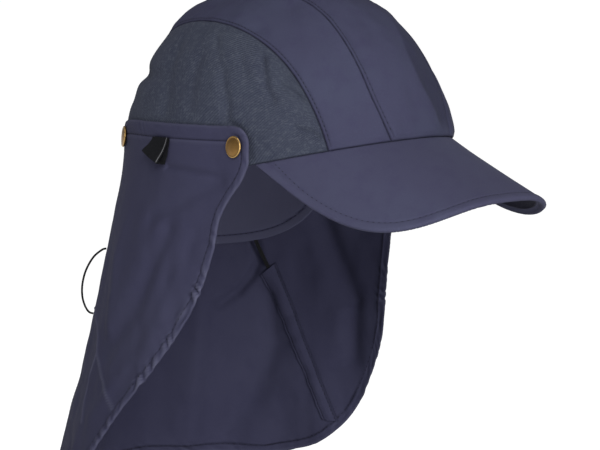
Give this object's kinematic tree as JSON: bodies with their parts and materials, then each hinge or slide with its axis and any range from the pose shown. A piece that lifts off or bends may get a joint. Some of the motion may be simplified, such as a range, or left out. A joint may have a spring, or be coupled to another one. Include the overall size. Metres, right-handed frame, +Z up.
{
  "type": "legionnaire cap",
  "caption": "Peaked cap with a panelled crown, stiff arched peak and a hemmed neck flap wrapped round the outside and held by domed snaps",
  "frame": {"origin": "middle of the head opening at the height of the rim, where a head holds the cap", "axes": "+Z up, the peak points to -Y, the wearer's left is +X"},
  "size_m": [0.1898, 0.2912, 0.2916],
  "materials": {
    "smooth_cloth": "fine navy plain weave with a faint sheen",
    "side_cloth": "navy twill with an open, slightly greyer texture",
    "peak_cloth": "fine navy plain weave drawn smooth over a stiff board",
    "flap_cloth": "thin navy plain weave, softly creased",
    "snap_brass": "antique brass, brushed, with a bright rolled edge",
    "label_weave": "black woven tape, plain",
    "elastic": "braided black elastic cord"
  },
  "bodies": {
    "root": {"crown_centre_panel": "smooth_cloth", "crown_gusset_right": "smooth_cloth", "crown_gusset_left": "smooth_cloth", "crown_side_panel_right": "side_cloth", "crown_side_panel_left": "side_cloth", "peak": "peak_cloth", "neck_flap": "flap_cloth", "nape_panel": "flap_cloth", "casing_right": "flap_cloth", "casing_left": "flap_cloth", "snap_front_right": "snap_brass", "snap_front_left": "snap_brass", "snap_back_right": "snap_brass", "snap_back_left": "snap_brass", "label_tab": "label_weave", "cord_back_loop": "elastic", "cord_inner_right": "elastic", "cord_inner_left": "elastic"}
  },
  "joints": []
}
